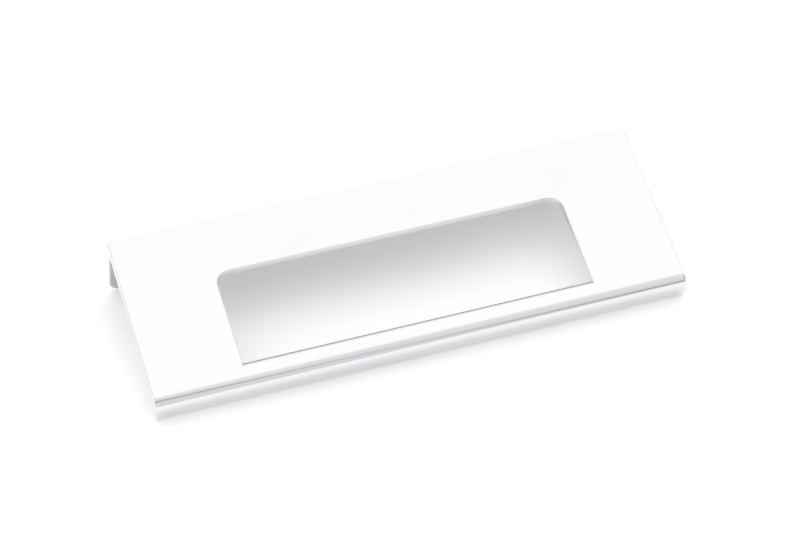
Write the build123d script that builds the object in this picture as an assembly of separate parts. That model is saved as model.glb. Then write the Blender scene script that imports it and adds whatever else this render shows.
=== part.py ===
from build123d import *

import os
from math import atan2, degrees

# An edge-mounted flush pull for a drawer front: one chromed metal piece.
# A flat plate has a finger window through it. Its front edge rolls over into a short grip bar,
# and its back edge turns down into a deeper flange that is screwed behind the drawer front.
# While it is modelled, X runs along the pull, Y from the grip bar back to the flange, and Z is up,
# with the plate's top face at Z = 0. It is then set down as it lies unheld on a level floor.

# Driving dimensions, in millimetres
LENGTH = 120.0  # end to end
DEPTH = 41.5  # face of the grip bar to the back of the flange
WALL = 2.0  # thickness of the plate, the bar and the flange
BAR_HEIGHT = 6.0  # top of the plate to the foot of the grip bar
FLANGE_HEIGHT = 18.0  # top of the plate to the foot of the flange

BAR_WIDTH = 6.0  # plate between the bar's face and the window
BACK_WIDTH = 13.4  # plate between the window and the flange's back
END_WIDTH = 20.4  # plate between the window and each end

ROLL_RADIUS = 2.6  # outside of the bend into the grip bar
INSIDE_RADIUS = 0.5  # inside of both bends
WINDOW_RADIUS = 3.2  # window corners on the flange side; those on the bar side are square
GRIP_RADIUS = 1.3  # rounded window edge of the bar, where the fingers pull
FOOT_RADIUS = 2.8  # lower corners of the flange
TIP_RADIUS = 0.7  # lower corners of the grip bar
EDGE_RADIUS = 0.4  # polished-over edges of the outline and under the window

SCREW_BORE = 4.0  # clearance hole for a countersunk wood screw
SCREW_LAND = 0.6  # straight wall left under each countersink
SCREW_INSET = 12.0  # screw centre to the end of the pull
COUNTERSINK_ANGLE = 90.0

SHARP_ANGLE = 30.0  # faces that meet at more than this form an edge, in degrees

# Sizes that follow from them
window_length = LENGTH - 2 * END_WIDTH
window_back = DEPTH - BACK_WIDTH
screw_spacing = LENGTH - 2 * SCREW_INSET
screw_drop = (FLANGE_HEIGHT + WALL) / 2
countersink_radius = SCREW_BORE / 2 + WALL - SCREW_LAND

# The pull lies on the outer foot of its bar and the inner foot of its flange, which are rounded alike
resting_tilt = degrees(atan2(FLANGE_HEIGHT - BAR_HEIGHT, DEPTH - WALL))


def nearest(corners, place):
    """The corner of a sketch that lies at a place."""
    return corners.sort_by_distance(place)[0]


def bent_section():
    """Side view of the bent plate: grip bar, plate and flange, one wall thick all round."""
    outline = Polyline(
        (0, 0),
        (DEPTH, 0),
        (DEPTH, -FLANGE_HEIGHT),
        (DEPTH - WALL, -FLANGE_HEIGHT),
        (DEPTH - WALL, -WALL),
        (WALL, -WALL),
        (WALL, -BAR_HEIGHT),
        (0, -BAR_HEIGHT),
        close=True,
    )
    section = make_face(outline)
    inside_corners = [nearest(section.vertices(), (side, -WALL)) for side in (WALL, DEPTH - WALL)]
    section = fillet(inside_corners, INSIDE_RADIUS)
    section = fillet(nearest(section.vertices(), (0, 0)), ROLL_RADIUS)
    return Plane.YZ * section


def finger_window():
    """The space cut out for the fingers. Its side view leaves the rounded grip edge on the bar."""
    grip_top = (BAR_WIDTH - GRIP_RADIUS, 0)
    grip_face = (BAR_WIDTH, -GRIP_RADIUS)
    walls = Polyline(grip_top, (window_back, 0), (window_back, -WALL), (BAR_WIDTH, -WALL), grip_face)
    grip = TangentArc(grip_face, grip_top, tangent=(0, 1))
    side_view = Plane.YZ * make_face(walls + grip)
    space = extrude(side_view, amount=window_length / 2, both=True)
    back_corners = space.edges().filter_by(Axis.Z).group_by(Axis.Y)[-1]
    return fillet(back_corners, WINDOW_RADIUS)


def sharp_edges(solid):
    """Edges where two faces meet at an angle, without the smooth joins of flats and bends."""
    faces = solid.faces()

    def is_sharp(edge):
        middle = edge @ 0.5
        sides = [face for face in faces if any(edge.is_same(other) for other in face.edges())]
        return sides[0].normal_at(middle).get_angle(sides[1].normal_at(middle)) > SHARP_ANGLE

    return solid.edges().filter_by(is_sharp)


def lower_corners(solid):
    """The corner edges at the ends of the two feet: those of the flange, then those of the bar."""
    return solid.edges().filter_by(Axis.Y).group_by(Axis.Z)[:2]


def screw_holes():
    """Two countersunk holes through the flange, opening wide on its back."""
    flange_back = Plane((0, DEPTH, -screw_drop), x_dir=(-1, 0, 0), z_dir=(0, 1, 0))
    hole = CounterSinkHole(
        SCREW_BORE / 2,
        countersink_radius,
        depth=WALL,
        counter_sink_angle=COUNTERSINK_ANGLE,
    )
    return [flange_back * place * hole for place in GridLocations(screw_spacing, 0, 2, 1)]


def pull_body():
    """The whole pull with its plate level."""
    body = extrude(bent_section(), amount=LENGTH / 2, both=True)
    body = fillet(lower_corners(body)[1], TIP_RADIUS)
    body = fillet(lower_corners(body)[0], FOOT_RADIUS)
    body = fillet(sharp_edges(body), EDGE_RADIUS)
    body -= finger_window()
    under_window = sharp_edges(body).group_by(Axis.Z)[0]
    body = fillet(under_window, EDGE_RADIUS)
    return body - screw_holes()


def set_down(solid):
    """The pull as it lies unheld, with the origin under the middle of its outline."""
    tilted = Rot(X=resting_tilt) * solid
    outline = tilted.bounding_box()
    middle = outline.center()
    return Pos(-middle.X, -middle.Y, -outline.min.Z) * tilted


os.makedirs("parts", exist_ok=True)
export_step(set_down(pull_body()), "parts/pull_body.step")
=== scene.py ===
"""Looks of a chromed flush pull: its polished body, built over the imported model, and a white studio round it.

The pull is modelled with its plate level: X runs along it, Y from the grip bar back to the flange, and the
plate's top face is Z = 0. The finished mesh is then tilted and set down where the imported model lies.
"""

import math

import bpy
import numpy as np
from bpy.props import FloatProperty, FloatVectorProperty, PointerProperty, StringProperty
from bpy.types import Operator, Panel, PropertyGroup
from mathutils import Matrix, Vector
from mathutils.geometry import tessellate_polygon


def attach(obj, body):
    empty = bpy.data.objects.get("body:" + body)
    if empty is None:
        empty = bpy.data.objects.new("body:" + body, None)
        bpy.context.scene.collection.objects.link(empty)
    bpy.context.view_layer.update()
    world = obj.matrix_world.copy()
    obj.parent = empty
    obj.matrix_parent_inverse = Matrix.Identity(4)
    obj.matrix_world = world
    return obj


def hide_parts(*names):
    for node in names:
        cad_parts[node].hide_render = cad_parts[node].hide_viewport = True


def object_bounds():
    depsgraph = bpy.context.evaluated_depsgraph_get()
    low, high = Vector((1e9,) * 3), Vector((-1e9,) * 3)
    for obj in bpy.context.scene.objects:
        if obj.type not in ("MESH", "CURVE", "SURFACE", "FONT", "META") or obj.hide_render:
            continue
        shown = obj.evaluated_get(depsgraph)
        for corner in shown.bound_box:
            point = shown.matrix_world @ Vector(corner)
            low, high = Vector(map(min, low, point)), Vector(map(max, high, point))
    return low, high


bl_info = {
    "name": "Chromed flush pull",
    "version": (1, 0, 0),
    "blender": (4, 5, 0),
    "location": "3D View > Sidebar > Flush pull",
    "description": "Builds the polished body of a flush pull over its packed model, in a white studio",
    "category": "Object",
}

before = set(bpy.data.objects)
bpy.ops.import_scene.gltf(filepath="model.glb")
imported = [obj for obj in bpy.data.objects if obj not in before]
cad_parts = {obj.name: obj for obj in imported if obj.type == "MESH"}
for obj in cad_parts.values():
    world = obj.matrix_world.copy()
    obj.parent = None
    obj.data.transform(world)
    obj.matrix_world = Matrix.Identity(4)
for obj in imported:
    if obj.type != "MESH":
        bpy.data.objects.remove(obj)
CAD_LOW, CAD_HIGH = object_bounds()

MM = 0.001
NODE = "pull_body"
BODY = "root"
MATH = "ShaderNodeMath"

# How finely each kind of bend is divided, in faces
ROLL_FACES = 32
EDGE_FACES = 8
CORNER_FACES = 24
HOLE_FACES = 72
GRIP_FACES = 16

# Points of neighbouring patches that fall in one cell of this grid are one point of the mesh
WELD_GRID = 1e-4 * MM

# How far round the grip edge buffing reaches, in degrees from the plate's face: fully, and then not at all.
# Beyond it the grip's back takes the greyer inside colour, partly duller satin and partly painted shade.
GRIP_BUFFED_UNSHADED = 14.0
GRIP_UNBUFFED_SHADED = 28.0

# Patches of the plating along X, Y and Z, in millimetres. The real buffing streaks are about 0.02 mm wide and
# the satin's grain is as fine, too fine to show, so both are drawn coarser.
STREAK_PATCH = (25.0, 0.6, 0.6)
GRAIN_PATCH = (1.5, 1.5, 1.5)
TONE_PATCH = (30.0, 12.0, 12.0)
WAVER_PATCH = (9.0, 5.0, 5.0)

# The levels that soft noise mostly keeps between, and how many finer layers it has
NOISE_LOW = 0.3
NOISE_HIGH = 0.7
NOISE_DETAIL = 2.0

# Least and most roughness of the streaked polish and of the satin, as shares of their usual roughness
STREAK_SPREAD = (0.6, 1.6)
GRAIN_SPREAD = (0.7, 1.3)

# Half the width of the table top and the nearest that the camera sees, in metres, and the width of the
# camera's sensor, in millimetres
TABLE_REACH = 3.0
NEAR_CLIP = 0.01
SENSOR_WIDTH = 36.0

# Angles round the light tent, in degrees: from the front horizon at 0 over the top to the back horizon
OVERHEAD = 90
BACK_HORIZON = 180

# The tent's hoops from left to right. Each has its place along X, as the X of a direction of length one, and
# its brightness at angles round the tent, as a share of the tent's brightest part. The plate and the bar
# mirror the two middle hoops, and the others light the pull and show in its corners.
TENT_MIDDLE = (
    (0, 0.70), (28, 0.685), (60, 0.72), (78, 0.765), (90, 0.90),
    (98, 0.985), (128, 0.90), (150, 0.84), (180, 0.92),
)
TENT_HOOPS = (
    (-0.95, ((0, 0.84), (75, 0.82), (110, 0.92), (180, 0.92))),
    (-0.45, ((0, 0.82), (75, 0.69), (110, 0.76), (150, 0.92), (180, 0.92))),
    (0.08, TENT_MIDDLE),
    (0.34, TENT_MIDDLE),
    (0.65, ((0, 0.83), (75, 0.81), (110, 0.80), (180, 0.92))),
    (0.95, ((0, 0.93), (75, 0.93), (110, 0.92), (180, 0.92))),
)

# A dark stand leans across the front of the tent: where it stands along X, how far it reaches to each side,
# how far it leans over half a turn, and how dark it is at angles round the tent
STAND_PLACE = 0.412
STAND_REACH = 0.08
STAND_LEAN = 1.06
STAND_SHADE = ((0, 0.8), (16, 1.0), (24, 0.7), (33, 0.05), (40, 0.5), (50, 1.0), (62, 1.0), (70, 0.0))

# The black camera itself and a dark cloth at the right, seen in the pull's corners: half the angle in degrees
# that each takes up, from its core to its rim, and the way to the cloth
CAMERA_CORE = 8.0
CAMERA_RIM = 13.0
CLOTH_CORE = 22.0
CLOTH_RIM = 33.0
CLOTH_WAY = (0.85, -0.45, 0.25)


class PullSizes(PropertyGroup):
    """Sizes of the pull that its looks are built from."""

    length: FloatProperty(
        name="Length",
        description="End to end, as in the packed model",
        default=CAD_HIGH.x - CAD_LOW.x,
        unit="LENGTH",
    )
    depth: FloatProperty(
        name="Depth",
        description="Face of the grip bar to the back of the flange",
        default=41.5 * MM,
        unit="LENGTH",
    )
    wall: FloatProperty(
        name="Wall",
        description="Thickness of the plate, the bar and the flange",
        default=2.0 * MM,
        unit="LENGTH",
    )
    bar_height: FloatProperty(
        name="Bar height",
        description="Top of the plate to the foot of the grip bar",
        default=6.0 * MM,
        unit="LENGTH",
    )
    flange_height: FloatProperty(
        name="Flange height",
        description="Top of the plate to the foot of the flange",
        default=18.0 * MM,
        unit="LENGTH",
    )
    bar_width: FloatProperty(
        name="Bar width",
        description="Plate between the bar's face and the window",
        default=6.0 * MM,
        unit="LENGTH",
    )
    back_width: FloatProperty(
        name="Back width",
        description="Plate between the window and the flange's back",
        default=13.4 * MM,
        unit="LENGTH",
    )
    end_width: FloatProperty(
        name="End width",
        description="Plate between the window and each end",
        default=20.4 * MM,
        unit="LENGTH",
    )
    roll_radius: FloatProperty(
        name="Roll radius",
        description="Outside of the bend into the grip bar",
        default=2.6 * MM,
        unit="LENGTH",
    )
    inside_radius: FloatProperty(
        name="Inside radius",
        description="Inside of both bends",
        default=0.5 * MM,
        unit="LENGTH",
    )
    window_radius: FloatProperty(
        name="Window radius",
        description="Window corners on the flange side",
        default=3.2 * MM,
        unit="LENGTH",
    )
    grip_radius: FloatProperty(
        name="Grip radius",
        description="Rounded edge of the bar on the window side, where the fingers pull",
        default=1.3 * MM,
        unit="LENGTH",
    )
    foot_radius: FloatProperty(
        name="Foot radius",
        description="Lower corners of the flange",
        default=2.8 * MM,
        unit="LENGTH",
    )
    tip_radius: FloatProperty(
        name="Tip radius",
        description="Lower corners of the grip bar",
        default=0.7 * MM,
        unit="LENGTH",
    )
    edge_radius: FloatProperty(
        name="Edge radius",
        description="Rounding that polishing gives the outline and the window's underside",
        default=0.4 * MM,
        unit="LENGTH",
    )
    window_edge: FloatProperty(
        name="Window edge",
        description="Rounding that polishing gives the window's upper edge",
        default=0.22 * MM,
        unit="LENGTH",
    )
    window_rise: FloatProperty(
        name="Window rise",
        description="How far down the window's rear wall that rounding reaches",
        default=1.3 * MM,
        unit="LENGTH",
    )
    screw_bore: FloatProperty(
        name="Screw bore",
        description="Clearance hole for each countersunk screw",
        default=4.0 * MM,
        unit="LENGTH",
    )
    screw_land: FloatProperty(
        name="Screw land",
        description="Straight wall left under each countersink",
        default=0.6 * MM,
        unit="LENGTH",
    )
    screw_inset: FloatProperty(
        name="Screw inset",
        description="Screw centre to the end of the pull",
        default=12.0 * MM,
        unit="LENGTH",
    )
    hole_edge: FloatProperty(
        name="Hole edge",
        description="Rounding that plating gives the edges of the screw holes",
        default=0.12 * MM,
        unit="LENGTH",
    )


class PullFinish(PropertyGroup):
    """Finish of the pull, and the tones of the studio round it."""

    chrome: StringProperty(
        name="Chrome",
        description="Colour that the plating reflects where it is brightest, as an sRGB hex value",
        default="#E8E8E8",
    )
    chrome_deep: StringProperty(
        name="Chrome, deeper",
        description="Colour that the plating reflects where it is deepest, as an sRGB hex value",
        default="#E6E6E7",
    )
    # Partly duller satin metal, partly painted shade for the dark under the plate and in the holes
    inside_satin_and_shade: StringProperty(
        name="Chrome, inside",
        description="Colour that the unbuffed grip and inside of the flange reflect, as an sRGB hex value",
        default="#C6C7CA",
    )
    waver: FloatProperty(
        name="Waver",
        description="How far the metal under the plate rises and falls",
        default=0.012 * MM,
        min=0.0,
        unit="LENGTH",
        precision=6,
    )
    floor: StringProperty(
        name="Floor",
        description="Colour of the table top, as an sRGB hex value",
        default="#FFFFFF",
    )
    tent_strength: FloatProperty(
        name="Tent strength",
        description="Brightness of the brightest part of the light tent",
        default=1.25,
        min=0.0,
    )
    tent_front: StringProperty(
        name="Tent front",
        description="Cast of the tent's front, which fades to white overhead, as an sRGB hex value",
        default="#F8FAFF",
    )
    stand: FloatProperty(
        name="Stand",
        description="How dark the stand in front of the tent looks where it is darkest",
        default=0.5,
        min=0.0,
        max=1.0,
        subtype="FACTOR",
    )
    camera: FloatProperty(
        name="Camera",
        description="How dark the camera looks against the tent",
        default=0.95,
        min=0.0,
        max=1.0,
        subtype="FACTOR",
    )
    cloth: FloatProperty(
        name="Cloth",
        description="How dark the cloth at the right looks against the tent",
        default=0.9,
        min=0.0,
        max=1.0,
        subtype="FACTOR",
    )
    lift: FloatProperty(
        name="Table lift",
        description="Brightness that the table shows over its own shading",
        default=0.23,
        min=0.0,
        max=1.0,
        subtype="FACTOR",
    )
    roughness: FloatProperty(
        name="Polish",
        description="Roughness of the polished plating",
        default=0.05,
        min=0.0,
        max=1.0,
        subtype="FACTOR",
    )
    satin: FloatProperty(
        name="Satin",
        description="Roughness of the unbuffed grip and inside of the flange",
        default=0.25,
        min=0.0,
        max=1.0,
        subtype="FACTOR",
    )


class PullCamera(PropertyGroup):
    """Where the photograph was taken from."""

    aim: FloatVectorProperty(
        name="Aim",
        description="Point of the row frame in the middle of the picture",
        default=(-0.596 * MM, -5.087 * MM, 10.0 * MM),
        subtype="TRANSLATION",
    )
    distance: FloatProperty(
        name="Distance",
        description="Camera to aim",
        default=551.0 * MM,
        unit="LENGTH",
    )
    azimuth: FloatProperty(
        name="Azimuth",
        description="Turn of the view to the right of straight on",
        default=math.radians(18.152),
        subtype="ANGLE",
    )
    elevation: FloatProperty(
        name="Elevation",
        description="Height of the camera above the horizon",
        default=math.radians(43.966),
        subtype="ANGLE",
    )
    roll: FloatProperty(
        name="Roll",
        description="Turn of the picture about the line of sight",
        default=math.radians(-0.172),
        subtype="ANGLE",
    )
    lens: FloatProperty(
        name="Lens",
        description="Focal length in millimetres on a 36 mm sensor",
        default=114.26,
        unit="CAMERA",
    )


def linear(hex_colour):
    """An sRGB hex value as linear red, green, blue and alpha."""
    channels = np.array([int(hex_colour[i : i + 2], 16) for i in (1, 3, 5)]) / 255
    curved = ((channels + 0.055) / 1.055) ** 2.4
    return (*np.where(channels <= 0.04045, channels / 12.92, curved), 1.0)


def add_node(tree, kind, inputs=None, **settings):
    """Adds one node. An input is a value for its socket, or the socket that feeds it."""
    node = tree.nodes.new(kind)
    for name, value in settings.items():
        setattr(node, name, value)
    for name, value in (inputs or {}).items():
        if isinstance(value, bpy.types.NodeSocket):
            tree.links.new(value, node.inputs[name])
        else:
            node.inputs[name].default_value = value
    return node


def rounded_path(corners, radii, faces):
    """Points and left-hand normals along straight runs joined by arcs.

    A corner turned by an angle t with radius r becomes an arc that starts r * tan(t / 2) before the corner.
    Its normals turn evenly through t, and its points lie one radius from its centre against them. The first
    and last corners stay as they are.
    """
    corners = np.asarray(corners, float)
    runs = np.diff(corners, axis=0)
    runs /= np.linalg.norm(runs, axis=1, keepdims=True)
    sides = np.stack([-runs[:, 1], runs[:, 0]], axis=1)
    points = [corners[:1]]
    normals = [sides[:1]]
    for i in range(1, len(corners) - 1):
        before, after, side = runs[i - 1], runs[i], sides[i - 1]
        turn = math.atan2(before[0] * after[1] - before[1] * after[0], before @ after)
        angles = np.linspace(0, turn, faces[i] + 1)[:, None]
        arc_normals = np.cos(angles) * side - np.sin(angles) * before
        start = corners[i] - before * radii[i] * math.tan(abs(turn) / 2)
        centre = start + math.copysign(radii[i], turn) * side
        points.append(centre - math.copysign(radii[i], turn) * arc_normals)
        normals.append(arc_normals)
    points.append(corners[-1:])
    normals.append(sides[-1:])
    return np.concatenate(points), np.concatenate(normals)


class Skin:
    """Collects patches of a closed surface, each with its own exact normals, and welds them into one mesh."""

    def __init__(self):
        self.points = []
        self.normals = []
        self.buffing_and_shade = []
        self.faces = []
        self.count = 0

    def add(self, points, normals, faces, buffing_and_shade):
        """Adds points, their normals and buffing (which sets painted shade too), faces naming them by number.
        """
        self.points.append(points.reshape(-1, 3))
        self.normals.append(np.broadcast_to(normals, points.shape).reshape(-1, 3))
        self.buffing_and_shade.append(np.broadcast_to(buffing_and_shade, points.shape[:-1]).reshape(-1))
        self.faces.append(np.asarray(faces) + self.count)
        self.count += len(self.points[-1])

    def grid(self, points, normals, closed=False, buffing_and_shade=1.0):
        """Adds a surface of two parameters: rows along the first axis, which may close on themselves."""
        rows, columns = points.shape[:2]
        row = np.arange(rows if closed else rows - 1)[:, None]
        column = np.arange(columns - 1)[None, :]
        below = (row + 1) % rows
        corners = (row * columns + column, below * columns + column)
        quads = np.stack([corners[0], corners[1], corners[1] + 1, corners[0] + 1], axis=-1)
        self.add(points, normals, quads.reshape(-1, 4), buffing_and_shade)

    def flat(self, loops, normal, buffing_and_shade):
        """Adds a flat face with an outer loop and any loops of holes."""
        triangles = tessellate_polygon([loop.tolist() for loop in loops])
        self.add(np.concatenate(loops), np.asarray(normal, float), triangles, buffing_and_shade)

    def mesh(self, name, place):
        """One mesh with shared points at the patches' seams. place is the matrix that sets it down."""
        turn = np.array(place.to_3x3())
        points = np.concatenate(self.points) @ turn.T + np.array(place.translation)
        normals = np.concatenate(self.normals) @ turn.T
        cells = np.round(points / WELD_GRID).astype(np.int64)
        _, first, shared = np.unique(cells, axis=0, return_index=True, return_inverse=True)
        shared = shared.reshape(-1)
        welded = points[first]
        triangles = np.concatenate([split for faces in self.faces for split in as_triangles(faces)])
        corners = shared[triangles]
        whole = (corners != np.roll(corners, 1, axis=1)).all(axis=1)
        triangles, corners = triangles[whole], corners[whole]
        one, two, three = (welded[corners[:, i]] for i in range(3))
        facing = np.cross(two - one, three - one)
        inward = (facing * normals[triangles].sum(axis=1)).sum(axis=1) < 0
        triangles[inward] = triangles[inward][:, ::-1]
        mesh = bpy.data.meshes.new(name)
        mesh.from_pydata(welded, [], shared[triangles].tolist())
        mesh.shade_smooth()
        mesh.normals_split_custom_set(normals[triangles].reshape(-1, 3).tolist())
        buffing_and_shade = mesh.attributes.new("buffing_and_shade", "FLOAT", "CORNER")
        buffing_and_shade.data.foreach_set("value", np.concatenate(self.buffing_and_shade)[triangles].reshape(-1))
        return mesh


def as_triangles(faces):
    """Triangles as they are, and each quad as two."""
    if faces.shape[1] == 3:
        return [faces]
    return [faces[:, [0, 1, 2]], faces[:, [0, 2, 3]]]


def add_rim(skin, outer, outer_normal, inner, inner_normal, outward, radius, inner_buffing_and_shade):
    """A rounded edge that joins two skins round a closed outline.

    At each point of the outline a quarter circle leaves the outer skin and turns to face outward, a straight
    run crosses the wall, and a second quarter circle turns onto the inner skin, where the buffing, and the
    painted shade that comes where buffing stops, fade to that skin's.
    """
    angle = np.linspace(0, math.pi / 2, EDGE_FACES + 1)[None, :, None]
    outward = outward[:, None, :]
    rounds = []
    for edge, normal in ((outer, outer_normal), (inner, inner_normal)):
        normal = np.broadcast_to(normal, edge.shape)[:, None, :]
        facing = np.sin(angle) * outward + np.cos(angle) * normal
        rounds.append((edge[:, None, :] + radius * (facing - normal), facing))
    points = np.concatenate([rounds[0][0], rounds[1][0][:, ::-1]], axis=1)
    normals = np.concatenate([rounds[0][1], rounds[1][1][:, ::-1]], axis=1)
    fade = 1 - (1 - inner_buffing_and_shade[:, None]) * (1 - np.sin(angle[0, ::-1, 0]))
    skin.grid(points, normals, closed=True, buffing_and_shade=np.concatenate([np.ones_like(fade), fade], axis=1))


def body_skin(size):
    """The pull's whole surface with its plate level.

    The outer and inner skins follow the bent section and run straight along X. A rounded rim joins them round
    the outline, the finger window's walls join them inside it, and each screw hole is a turned profile.
    """
    skin = Skin()
    half = size.length / 2
    edge = size.edge_radius
    inner_back = size.depth - size.wall
    bend_faces = [0, ROLL_FACES, EDGE_FACES, 0]
    outer_path = [(0, -size.bar_height), (0, 0), (size.depth, 0), (size.depth, -size.flange_height)]
    inner_path = [
        (size.wall, -size.bar_height),
        (size.wall, -size.wall),
        (inner_back, -size.wall),
        (inner_back, -size.flange_height),
    ]
    outer_radii = [0, size.roll_radius, edge, 0]
    inner_radii = [0, size.inside_radius, size.inside_radius, 0]
    outer, outer_normals = rounded_path(outer_path, outer_radii, bend_faces)
    inner, inner_normals = rounded_path(inner_path, inner_radii, bend_faces)
    inner_normals = -inner_normals

    # The right half of the outline, from the foot of the bar over the end to the foot of the flange
    tip = np.linspace(-math.pi / 2, 0, EDGE_FACES + 1)
    foot = np.linspace(0, -math.pi / 2, CORNER_FACES + 1)
    tip_out = np.stack([np.cos(tip), 0 * tip, np.sin(tip)], axis=1)
    foot_out = np.stack([np.cos(foot), 0 * foot, np.sin(foot)], axis=1)
    bends = slice(1, -1)
    end_out = np.tile([1.0, 0.0, 0.0], (len(outer) - 2, 1))
    tip_centre = np.array([half - size.tip_radius, 0, size.tip_radius - size.bar_height])
    foot_centre = np.array([half - size.foot_radius, 0, size.foot_radius - size.flange_height])
    tip_edge = tip_centre + (size.tip_radius - edge) * tip_out
    foot_edge = foot_centre + (size.foot_radius - edge) * foot_out

    def outline(section, section_normals):
        """Both halves of a skin's outline, set in from the edge by its rounding, with the skin's normals."""
        ends = np.column_stack([np.full(len(section) - 2, half - edge), section[bends]])
        right = np.concatenate([
            tip_edge + [0, section[0, 0], 0],
            ends,
            foot_edge + [0, section[-1, 0], 0],
        ])
        normals = np.concatenate([
            np.repeat(section_normals[:1], len(tip), axis=0),
            section_normals[bends],
            np.repeat(section_normals[-1:], len(foot), axis=0),
        ])
        normals = np.column_stack([np.zeros(len(normals)), normals])
        left = right[::-1] * [-1, 1, 1]
        return np.concatenate([right, left]), np.concatenate([normals, normals[::-1]])

    outward = np.concatenate([tip_out, end_out, foot_out])
    outward = np.concatenate([outward, outward[::-1] * [-1, 1, 1]])
    outer_edge, outer_edge_normals = outline(outer, outer_normals)
    inner_edge, inner_edge_normals = outline(inner, inner_normals)

    # Where each flat and each bend lies in the right half of the outline
    count = len(outer_edge)
    tip_end = len(tip)
    roll_end = tip_end + ROLL_FACES
    heel_start = roll_end + 1
    heel_end = heel_start + EDGE_FACES

    # Buffing fades out round the inner bend, and doesn't reach the flange's inside, which takes the greyer
    # inside colour: partly duller satin, partly painted shade for the dark under the plate
    outer_buffing_and_shade = np.ones(count)
    inner_buffing_and_shade = np.interp(np.arange(count // 2), [heel_start, heel_end], [1.0, 0.0])
    inner_buffing_and_shade = np.concatenate([inner_buffing_and_shade, inner_buffing_and_shade[::-1]])
    add_rim(skin, outer_edge, outer_edge_normals, inner_edge, inner_edge_normals, outward, edge, inner_buffing_and_shade)

    window_top, window_under = add_window(skin, size)

    backs, fronts = [], []
    for side in (-1, 1):
        centre = [side * (half - size.screw_inset), 0, -(size.flange_height + size.wall) / 2]
        back, front = add_screw_hole(skin, size, np.array(centre))
        backs.append(back)
        fronts.append(front)

    def both(first, last):
        """Outline points from first to last in the right half, then from last to first in the left half."""
        right = np.arange(first, last + 1)
        return np.concatenate([right, count - 1 - right[::-1]])

    for rim, normals, facing, window_loop, holes, buffing_and_shade in (
        (outer_edge, outer_edge_normals, 1.0, window_top, backs, outer_buffing_and_shade),
        (inner_edge, inner_edge_normals, -1.0, window_under, fronts, inner_buffing_and_shade),
    ):
        skin.flat([rim[both(0, tip_end)]], [0, -facing, 0], buffing_and_shade[0])
        skin.flat([rim[both(roll_end, heel_start)], window_loop], [0, 0, facing], buffing_and_shade[roll_end])
        skin.flat([rim[both(heel_end, count // 2 - 1)], *holes], [0, facing, 0], buffing_and_shade[heel_end])
        for first, last in ((tip_end, roll_end), (heel_start, heel_end)):
            right = np.arange(first, last + 1)
            pair = np.stack([right, count - 1 - right], axis=1)
            skin.grid(rim[pair], normals[pair], buffing_and_shade=buffing_and_shade[pair])
    return skin


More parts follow.
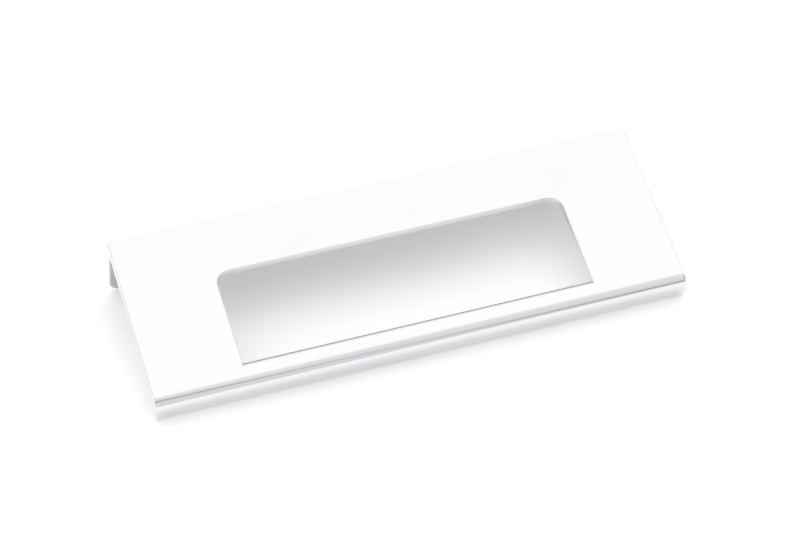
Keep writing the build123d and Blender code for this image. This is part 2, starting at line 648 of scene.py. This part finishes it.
def add_window(skin, size):
    """The finger window's walls and its rounded grip edge, and its loops on the plate's top and underside.

    The window's side walls and back wall hang from a rounded edge. On the bar side a cylinder of the grip
    radius runs from wall to wall. At a turn t from the plate's normal it lies radius * sin(t) back from its
    start and radius * (1 - cos(t)) down, and there the side walls end on it. Its buffing fades as it turns
    away, and where it stops the greyer inside colour paints shade. Below, a quarter round turns every wall
    onto the plate's underside, with mitres in the two square corners.
    """
    edge = size.window_edge
    under = size.edge_radius
    up = np.array([0, 0, 1.0])
    grip = size.grip_radius
    half = size.length / 2 - size.end_width
    back = size.depth - size.back_width
    turn = np.linspace(0, math.pi / 2, GRIP_FACES + 1)
    grip_back = size.bar_width - grip * (1 - np.sin(turn))
    grip_drop = grip * (1 - np.cos(turn))

    # From the bar along the right wall, round the back and forward along the left wall
    corners = [(half, size.bar_width), (half, back), (-half, back), (-half, size.bar_width)]
    radii = [0, size.window_radius, size.window_radius, 0]
    wall, inward = rounded_path(corners, radii, [0, CORNER_FACES, CORNER_FACES, 0])
    wall = np.column_stack([wall, np.zeros(len(wall))])
    inward = np.column_stack([inward, np.zeros(len(inward))])

    def hang(top, inward, drops):
        """A wall below a line on the plate's top: a quarter ellipse, then straight down to each drop.

        Buffing along X rounds the rear wall's edge further down than the side walls', where it is a circle.
        Where the first drop is less than its rise, the ellipse stops at the angle of cosine 1 - drop / rise.
        """
        rise = edge + (size.window_rise - edge) * np.clip(-inward[:, 1], 0, 1)
        full = np.arccos(1 - np.minimum(drops[:, 0], rise) / rise)
        angle = (full[:, None] * np.linspace(0, 1, EDGE_FACES + 1))[..., None]
        rise, inward = rise[:, None, None], inward[:, None]
        rounded = top[:, None] - edge * (1 - np.sin(angle)) * inward - rise * (1 - np.cos(angle)) * up
        facing = rise * np.sin(angle) * inward + edge * np.cos(angle) * up
        facing /= np.linalg.norm(facing, axis=2, keepdims=True)
        straight = rounded[:, -1:] * [1, 1, 0] - drops[..., None] * up
        points = np.concatenate([rounded, straight], axis=1)
        normals = np.concatenate([facing, np.broadcast_to(facing[:, -1:], straight.shape)], axis=1)
        skin.grid(points, normals)
        return points

    def tuck(line, inward, mitre):
        """The rounded edge under a wall. mitre is its inward way, plus its neighbour's in a square corner."""
        angle = np.linspace(0, math.pi / 2, EDGE_FACES + 1)[None, :, None]
        facing = np.cos(angle) * inward[:, None] - np.sin(angle) * up
        points = line[:, None] + under * ((np.cos(angle) - 1) * mitre[:, None] - np.sin(angle) * up)
        skin.grid(points, facing)
        return points[:, -1]

    walls = hang(wall, inward, np.tile([grip, size.wall - under], (len(wall), 1)))
    ends = []
    for side in (1, -1):
        line = np.column_stack([np.full_like(turn, side * half), grip_back, 0 * turn])
        ends.append(hang(line, np.tile([-side, 0.0, 0.0], (len(turn), 1)), grip_drop[:, None]))
    lower = np.stack([ends[0][:, -1], ends[1][:, -1]], axis=1)
    facing = np.stack([0 * turn, np.sin(turn), np.cos(turn)], axis=1)
    # Round the grip's back buffing fades, and the greyer inside colour paints shade there
    fade = np.interp(np.degrees(turn), [GRIP_BUFFED_UNSHADED, GRIP_UNBUFFED_SHADED], [1.0, 0.0])[:, None]
    skin.grid(lower, np.repeat(facing[:, None], 2, axis=1), buffing_and_shade=np.repeat(fade, 2, axis=1))
    rearward = np.array([[0, 1.0, 0]] * 2)
    bar_back = np.stack([lower[-1], walls[[0, -1], -1]])
    # The bar's back is unpolished: satin, with the greyer inside colour as painted shade
    skin.grid(bar_back, rearward[0], buffing_and_shade=0.0)

    mitre = inward.copy()
    mitre[[0, -1]] += rearward
    tuck(walls[[0, -1], -1], rearward, mitre[[0, -1]])
    top = np.concatenate([ends[0][:-1, 0], walls[:, 0], ends[1][-2::-1, 0]])
    return top, tuck(walls[:, -1], inward, mitre)


def add_screw_hole(skin, size, centre):
    """One countersunk hole as a turned profile, and its loops on the flange's back and front.

    The profile runs in over the rounded edge of the countersink, down its cone and the straight bore, and out
    over the bore's far edge. Each point keeps its distance from the hole's axis while it turns about it.
    """
    bore = size.screw_bore / 2
    front = size.depth - size.wall
    sink = size.wall - size.screw_land
    # Runs along the flange's two faces, longer than the roundings that start and end on them
    run = 4 * size.hole_edge
    path = [
        (bore + sink + run, size.depth),
        (bore + sink, size.depth),
        (bore, size.depth - sink),
        (bore, front),
        (bore + run, front),
    ]
    profile, normals = rounded_path(path, [0, *[size.hole_edge] * 3, 0], [0, *[EDGE_FACES] * 3, 0])
    profile, normals = profile[1:-1], -normals[1:-1]
    turn = np.linspace(0, 2 * math.pi, HOLE_FACES, endpoint=False)[:, None]

    def turned(radial, along):
        """Distances from the hole's axis and along it, at every turn about it."""
        return np.stack([np.cos(turn) * radial, np.ones_like(turn) * along, np.sin(turn) * radial], axis=-1)

    points = turned(profile[:, 0], profile[:, 1]) + centre
    # Unpolished: satin, with the greyer inside colour as painted shade in the hole
    skin.grid(points, turned(normals[:, 0], normals[:, 1]), closed=True, buffing_and_shade=0.0)
    return points[:, 0], points[:, -1]


def set_down(size, skin):
    """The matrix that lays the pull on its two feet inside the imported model's box."""
    tilt = math.atan2(size.flange_height - size.bar_height, size.depth - size.wall)
    turn = Matrix.Rotation(tilt, 4, "X")
    points = np.concatenate(skin.points) @ np.array(turn.to_3x3()).T
    low, high = points.min(axis=0), points.max(axis=0)
    shift = (CAD_LOW + CAD_HIGH) / 2 - Vector((low + high) / 2)
    shift.z = CAD_LOW.z - low[2]
    return Matrix.Translation(shift) @ turn


def polished_chrome(finish):
    """Bright chrome plate over buffed metal.

    The eye sees a near mirror with a neutral cast. Streaks that buffing left along X blur the mirror a little
    more in places, the metal under the plate isn't quite flat, so that straight reflections waver, and the
    plate's tone drifts slightly over the piece. The back of the grip edge, the screw holes and the flange's
    inside, where no buffing wheel reaches, are satin, and greyer: partly duller metal, partly painted shade
    for the dark that falls under the plate.
    """
    material = bpy.data.materials.new("polished chrome plate")
    material.use_nodes = True
    tree = material.node_tree
    tree.nodes.clear()
    place = add_node(tree, "ShaderNodeTexCoord").outputs["Object"]

    def noise(patch):
        """Soft noise whose patches measure this many millimetres along X, Y and Z."""
        scale = [1 / (length * MM) for length in patch]
        spread = add_node(tree, "ShaderNodeMapping", {"Vector": place, "Scale": scale}).outputs[0]
        soft = {"Vector": spread, "Scale": 1.0, "Detail": NOISE_DETAIL}
        return add_node(tree, "ShaderNodeTexNoise", soft).outputs[0]

    def uneven(roughness, spread, patch):
        """A roughness that varies from patch to patch between two shares of its usual value."""
        least, most = spread
        levels = {"Value": noise(patch), "From Min": NOISE_LOW, "From Max": NOISE_HIGH}
        levels.update({"To Min": least * roughness, "To Max": most * roughness})
        return add_node(tree, "ShaderNodeMapRange", levels).outputs[0]

    polish = uneven(finish.roughness, STREAK_SPREAD, STREAK_PATCH)
    satin = uneven(finish.satin, GRAIN_SPREAD, GRAIN_PATCH)

    tone = add_node(tree, "ShaderNodeValToRGB", {"Fac": noise(TONE_PATCH)})
    tone.color_ramp.elements[0].position = NOISE_LOW
    tone.color_ramp.elements[0].color = linear(finish.chrome_deep)
    tone.color_ramp.elements[1].position = NOISE_HIGH
    tone.color_ramp.elements[1].color = linear(finish.chrome)

    # Where buffing stops, the satin's greyer inside colour takes over, partly as painted shade
    buffing_and_shade = add_node(tree, "ShaderNodeAttribute", attribute_name="buffing_and_shade").outputs["Fac"]
    blur = add_node(tree, "ShaderNodeMix", {"Factor": buffing_and_shade, "A": satin, "B": polish}).outputs[0]
    # A Mix node's sockets for colours go by number: the factor is 0, the colours 6 and 7, and the result 2
    colours = {0: buffing_and_shade, 6: linear(finish.inside_satin_and_shade), 7: tone.outputs[0]}
    colour = add_node(tree, "ShaderNodeMix", colours, data_type="RGBA").outputs[2]

    waver = {"Height": noise(WAVER_PATCH), "Distance": finish.waver}
    level = add_node(tree, "ShaderNodeBump", waver).outputs["Normal"]
    look = {"Base Color": colour, "Metallic": 1.0, "Roughness": blur, "Normal": level}
    shader = add_node(tree, "ShaderNodeBsdfPrincipled", look)
    add_node(tree, "ShaderNodeOutputMaterial", {"Surface": shader.outputs["BSDF"]})
    return material


def white_table(finish):
    """Matt white table top: it shows only the pull's soft shadow, lifted as in a bright picture."""
    material = bpy.data.materials.new("matt white table top")
    material.use_nodes = True
    tree = material.node_tree
    tree.nodes.clear()
    matt = add_node(tree, "ShaderNodeBsdfDiffuse", {"Color": linear(finish.floor)})
    ray = add_node(tree, "ShaderNodeLightPath").outputs
    seen = add_node(tree, MATH, {0: ray["Is Camera Ray"], 1: ray["Is Glossy Ray"]}, operation="ADD")
    seen = add_node(tree, MATH, {0: seen.outputs[0], 1: ray["Is Transmission Ray"]}, operation="ADD")
    lift = add_node(tree, MATH, {0: seen.outputs[0], 1: finish.lift}, operation="MULTIPLY")
    glow = add_node(tree, "ShaderNodeEmission", {"Strength": lift.outputs[0]})
    both = add_node(tree, "ShaderNodeAddShader", {0: matt.outputs[0], 1: glow.outputs[0]})
    add_node(tree, "ShaderNodeOutputMaterial", {"Surface": both.outputs[0]})
    return material


class FLUSHPULL_OT_body(Operator):
    """Build the pull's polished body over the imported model"""

    bl_idname = "flushpull.body"
    bl_label = "Polished body"

    def execute(self, context):
        size = context.scene.pull_sizes
        skin = body_skin(size)
        mesh = skin.mesh("pull_polished", set_down(size, skin))
        mesh.materials.append(polished_chrome(context.scene.pull_finish))
        piece = bpy.data.objects.new("pull_polished", mesh)
        context.scene.collection.objects.link(piece)
        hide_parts(NODE)
        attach(piece, BODY)
        return {"FINISHED"}


class FLUSHPULL_OT_stage(Operator):
    """Set the white table, the light tent and the photograph's camera round the pull"""

    bl_idname = "flushpull.stage"
    bl_label = "White studio"

    def execute(self, context):
        scene = context.scene
        scene.view_settings.view_transform = "Standard"
        self.add_table(scene)
        self.add_tent(scene)
        self.add_camera(scene)
        return {"FINISHED"}

    def add_table(self, scene):
        """A flat table top that runs out of every picture."""
        mesh = bpy.data.meshes.new("table_top")
        corners = [(TABLE_REACH * x, TABLE_REACH * y, 0) for x, y in ((-1, -1), (1, -1), (1, 1), (-1, 1))]
        mesh.from_pydata(corners, [], [(0, 1, 2, 3)])
        mesh.materials.append(white_table(scene.pull_finish))
        table = bpy.data.objects.new("table_top", mesh)
        scene.collection.objects.link(table)

    def add_tent(self, scene):
        """A white light tent with a darker, slightly cooler front, and the dark things that stand in it."""
        finish = scene.pull_finish
        world = bpy.data.worlds.new("light_tent")
        world.use_nodes = True
        scene.world = world
        tree = world.node_tree
        tree.nodes.clear()

        # The way looked in, and how far round it lies from the front horizon to the back, as a share
        way = add_node(tree, "ShaderNodeTexCoord").outputs["Generated"]
        axes = add_node(tree, "ShaderNodeSeparateXYZ", {0: way}).outputs
        forward = add_node(tree, MATH, {0: axes["Y"], 1: -1.0}, operation="MULTIPLY").outputs[0]
        turn = add_node(tree, MATH, {0: axes["Z"], 1: forward}, operation="ARCTAN2").outputs[0]
        turn = add_node(tree, MATH, {0: turn, 1: math.pi}, operation="DIVIDE").outputs[0]

        def round_tent(stops):
            """Levels that ease from stop to stop round the tent. Each stop has its angle and its level."""
            node = add_node(tree, "ShaderNodeValToRGB", {"Fac": turn})
            node.color_ramp.interpolation = "EASE"
            while len(node.color_ramp.elements) < len(stops):
                node.color_ramp.elements.new(0.5)
            for element, (angle, level) in zip(node.color_ramp.elements, stops):
                element.position = angle / BACK_HORIZON
                element.color = (level, level, level, 1)
            return node.outputs[0]

        # The tent's brightness changes smoothly from each hoop to the next
        last, stops = TENT_HOOPS[0]
        tent = round_tent(stops)
        for place, stops in TENT_HOOPS[1:]:
            between = {"Value": axes["X"], "From Min": last, "From Max": place}
            share = add_node(tree, "ShaderNodeMapRange", between, interpolation_type="SMOOTHSTEP").outputs[0]
            hoops = {"Factor": share, "A": tent, "B": round_tent(stops)}
            tent = add_node(tree, "ShaderNodeMix", hoops).outputs[0]
            last = place

        # The stand takes light away, most along its middle line
        lean = add_node(tree, MATH, {0: turn, 1: STAND_LEAN}, operation="MULTIPLY").outputs[0]
        across = add_node(tree, MATH, {0: axes["X"], 1: lean}, operation="ADD").outputs[0]
        aside = add_node(tree, MATH, {0: across, 1: STAND_PLACE}, operation="SUBTRACT").outputs[0]
        aside = add_node(tree, MATH, {0: aside}, operation="ABSOLUTE").outputs[0]
        width = {"Value": aside, "From Min": STAND_REACH, "From Max": 0.0}
        width = add_node(tree, "ShaderNodeMapRange", width, interpolation_type="SMOOTHSTEP").outputs[0]
        shade = add_node(tree, MATH, {0: width, 1: round_tent(STAND_SHADE)}, operation="MULTIPLY").outputs[0]
        shade = add_node(tree, MATH, {0: shade, 1: finish.stand}, operation="MULTIPLY").outputs[0]
        left = add_node(tree, MATH, {0: 1.0, 1: shade}, operation="SUBTRACT").outputs[0]
        tent = add_node(tree, MATH, {0: tent, 1: left}, operation="MULTIPLY").outputs[0]

        # So do the camera and the cloth, which look round
        settings = scene.pull_camera
        lens = Matrix.Rotation(-settings.azimuth, 3, "Z") @ Matrix.Rotation(-settings.elevation, 3, "X")
        for there, core, rim, dark in (
            (lens @ Vector((0, -1, 0)), CAMERA_CORE, CAMERA_RIM, finish.camera),
            (Vector(CLOTH_WAY).normalized(), CLOTH_CORE, CLOTH_RIM, finish.cloth),
        ):
            near = add_node(tree, "ShaderNodeVectorMath", {0: way, 1: there}, operation="DOT_PRODUCT")
            spot = {
                "Value": near.outputs["Value"],
                "From Min": math.cos(math.radians(rim)),
                "From Max": math.cos(math.radians(core)),
                "To Min": 1.0,
                "To Max": 1.0 - dark,
            }
            left = add_node(tree, "ShaderNodeMapRange", spot, interpolation_type="SMOOTHSTEP").outputs[0]
            tent = add_node(tree, MATH, {0: tent, 1: left}, operation="MULTIPLY").outputs[0]

        # The front's cool cast fades to white overhead
        cast = add_node(tree, "ShaderNodeValToRGB", {"Fac": turn})
        cast.color_ramp.elements[0].color = linear(finish.tent_front)
        cast.color_ramp.elements[1].position = OVERHEAD / BACK_HORIZON
        cast.color_ramp.elements[1].color = (1, 1, 1, 1)
        tinted = {0: cast.outputs[0], "Scale": tent}
        tinted = add_node(tree, "ShaderNodeVectorMath", tinted, operation="SCALE").outputs[0]
        light = add_node(tree, "ShaderNodeBackground", {"Color": tinted, "Strength": finish.tent_strength})
        add_node(tree, "ShaderNodeOutputWorld", {"Surface": light.outputs["Background"]})

    def add_camera(self, scene):
        """The photograph's camera, aimed along its azimuth and elevation."""
        settings = scene.pull_camera
        turn = (
            Matrix.Rotation(-settings.azimuth, 4, "Z")
            @ Matrix.Rotation(math.pi / 2 - settings.elevation, 4, "X")
            @ Matrix.Rotation(settings.roll, 4, "Z")
        )
        back = Matrix.Translation((0, 0, settings.distance))
        data = bpy.data.cameras.new("photo_camera")
        data.sensor_width = SENSOR_WIDTH
        data.lens = settings.lens
        data.clip_start = NEAR_CLIP
        camera = bpy.data.objects.new("photo_camera", data)
        camera.matrix_world = Matrix.Translation(settings.aim) @ turn @ back
        scene.collection.objects.link(camera)
        scene.camera = camera


class FLUSHPULL_PT_panel(Panel):
    """Lists the pull's sizes, finish and camera, and the operators that build it"""

    bl_idname = "FLUSHPULL_PT_panel"
    bl_label = "Flush pull"
    bl_space_type = "VIEW_3D"
    bl_region_type = "UI"
    bl_category = "Flush pull"

    def draw(self, context):
        layout = self.layout
        for group in (context.scene.pull_sizes, context.scene.pull_finish, context.scene.pull_camera):
            column = layout.column(align=True)
            for name in group.__annotations__:
                column.prop(group, name)
        for operator in OPERATORS:
            layout.operator(operator.bl_idname)


GROUPS = {"pull_sizes": PullSizes, "pull_finish": PullFinish, "pull_camera": PullCamera}
OPERATORS = (FLUSHPULL_OT_body, FLUSHPULL_OT_stage)
CLASSES = (*GROUPS.values(), *OPERATORS, FLUSHPULL_PT_panel)


def register():
    """Adds the add-on's classes, and its settings to every scene."""
    for item in CLASSES:
        bpy.utils.register_class(item)
    for name, group in GROUPS.items():
        setattr(bpy.types.Scene, name, PointerProperty(type=group))


def unregister():
    """Takes the settings and the classes away again."""
    for name in GROUPS:
        delattr(bpy.types.Scene, name)
    for item in reversed(CLASSES):
        bpy.utils.unregister_class(item)


def main():
    """Builds the pull and its studio."""
    register()
    bpy.ops.flushpull.body()
    bpy.ops.flushpull.stage()


if __name__ == "__main__":
    main()
